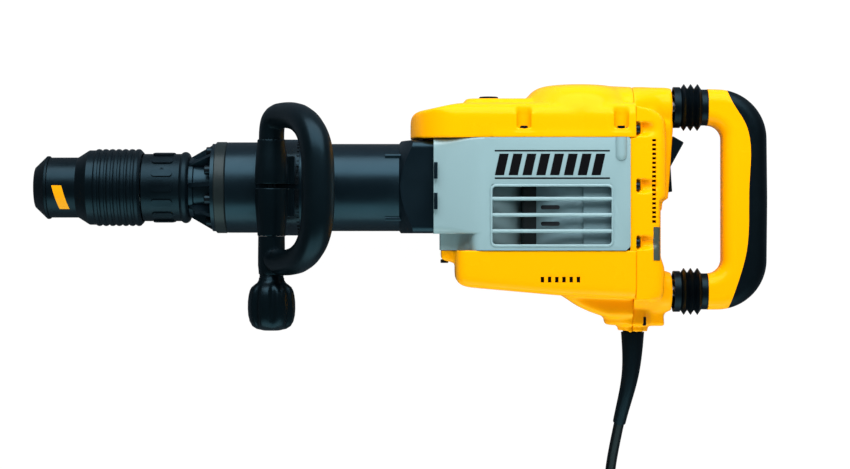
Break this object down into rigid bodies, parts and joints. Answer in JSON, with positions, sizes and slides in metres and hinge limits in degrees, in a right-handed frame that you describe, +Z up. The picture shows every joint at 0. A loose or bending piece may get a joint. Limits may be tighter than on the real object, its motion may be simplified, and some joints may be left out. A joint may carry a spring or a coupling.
{
  "type": "electric jackhammer",
  "caption": "Electric demolition hammer with a sprung rear D-handle, side D-handle, chisel holder with locking sleeve, inner drive and mains cord.",
  "frame": {"origin": "centre of the mouth of the tool holder, on the hammer axis", "axes": "+X back along the hammer axis to the rear handle, +Y to the gear side with the speed dial, +Z up from the surface it lies on"},
  "size_m": [0.6311, 0.4994, 0.1886],
  "materials": {
    "steel": "ground",
    "bearing_steel": "polished",
    "bolt_steel": "black oxide",
    "strap_steel": "black, satin",
    "flange_steel": "fine turned",
    "forged_alloy": "cast",
    "grey_casting": "grey paint, semi-gloss",
    "black_casting": "black paint, satin",
    "yellow_plastic": "glossy",
    "black_plastic": "satin",
    "handle_plastic": "satin",
    "shroud_alloy": "pressed sheet",
    "fan_plastic": "matte",
    "black_rubber": "matte",
    "seal_rubber": "matte",
    "cord_rubber": "matte",
    "laminations": "laminated",
    "copper": "enamelled",
    "brush_brass": "plain",
    "carbon": "carbon"
  },
  "bodies": {
    "housing": {"armature": "laminations", "armature_shaft": "steel", "barrel": "black_casting", "bearings": "bearing_steel", "bottom_cover": "yellow_plastic", "brush_holders": "brush_brass", "carbon_brushes": "carbon", "commutator": "copper", "connecting_rod": "forged_alloy", "cord_coil": "cord_rubber", "cord_guard": "black_rubber", "cover_screws": "bolt_steel", "crank_gear": "steel", "crankshaft": "steel", "cylinder": "steel", "damper_ring": "seal_rubber", "field_coils": "copper", "flange_bolts": "bolt_steel", "flange_ring": "flange_steel", "front_collar": "black_casting", "gear_case": "grey_casting", "gear_plate": "forged_alloy", "handle_bellows": "black_rubber", "handle_springs": "steel", "housing_screws": "bolt_steel", "intermediate_gear": "steel", "motor_fan": "fan_plastic", "motor_shroud": "shroud_alloy", "nose_cone": "black_casting", "piston": "steel", "piston_ring": "seal_rubber", "plug": "cord_rubber", "power_cord": "cord_rubber", "rear_housing": "yellow_plastic", "rocker_pin": "steel", "speed_controller": "black_plastic", "stator": "laminations", "switch_body": "black_plastic", "top_cover": "yellow_plastic", "wrist_pin": "steel"},
    "tool_holder": {"spindle": "steel", "locking_rollers": "steel", "dust_cap": "black_rubber", "index_collar": "black_plastic", "sleeve_spring": "steel"},
    "lock_sleeve": {"lock_sleeve": "black_plastic"},
    "impact_bolt": {"impact_bolt": "steel"},
    "ram": {"ram": "steel", "ram_ring": "seal_rubber"},
    "side_clamp": {"clamp_strap": "strap_steel", "upper_clamp_jaw": "handle_plastic", "lower_clamp_jaw": "handle_plastic"},
    "side_handle": {"side_handle_loop": "handle_plastic", "clamp_bolt": "steel"},
    "clamp_knob": {"clamp_knob": "handle_plastic"},
    "rear_handle": {"handle_frame": "yellow_plastic", "handle_grip": "black_rubber", "handle_pins": "steel"},
    "rocker": {"rocker": "black_plastic"},
    "speed_dial": {"speed_dial": "black_plastic"}
  },
  "joints": [
    {"name": "spindle_turn", "type": "hinge", "parent": "housing", "child": "tool_holder", "pos_m": [0, 0, 0], "axis": [1, 0, 0], "continuous": true},
    {"name": "sleeve_slide", "type": "slide", "parent": "tool_holder", "child": "lock_sleeve", "axis": [1, 0, 0], "range_m": [0, 0.009], "stiffness_N_per_m": 1500, "deforming": ["sleeve_spring"]},
    {"name": "impact_bolt_slide", "type": "slide", "parent": "housing", "child": "impact_bolt", "axis": [-1, 0, 0], "range_m": [0, 0.008]},
    {"name": "ram_slide", "type": "slide", "parent": "housing", "child": "ram", "axis": [1, 0, 0], "range_m": [-0.018, 0.03]},
    {"name": "side_clamp_turn", "type": "hinge", "parent": "housing", "child": "side_clamp", "pos_m": [0.212, 0, 0], "axis": [1, 0, 0], "continuous": true},
    {"name": "side_handle_tilt", "type": "hinge", "parent": "side_clamp", "child": "side_handle", "pos_m": [0.207, 0, 0.054], "axis": [0, 1, 0], "range_deg": [-100, 50]},
    {"name": "clamp_knob_turn", "type": "hinge", "parent": "side_handle", "child": "clamp_knob", "pos_m": [0.207, -0.1, 0.054], "axis": [0, 1, 0], "continuous": true},
    {"name": "rear_handle_slide", "type": "slide", "parent": "housing", "child": "rear_handle", "axis": [-1, 0, 0], "range_m": [0, 0.008], "stiffness_N_per_m": 15000, "deforming": ["handle_springs", "handle_bellows"]},
    {"name": "rocker_swing", "type": "hinge", "parent": "housing", "child": "rocker", "pos_m": [0.541, 0.0178, 0], "axis": [0, 0, 1], "range_deg": [0, 14]},
    {"name": "speed_dial_turn", "type": "hinge", "parent": "housing", "child": "speed_dial", "pos_m": [0.391, 0.076, 0], "axis": [0, 1, 0], "range_deg": [0, 270]}
  ]
}
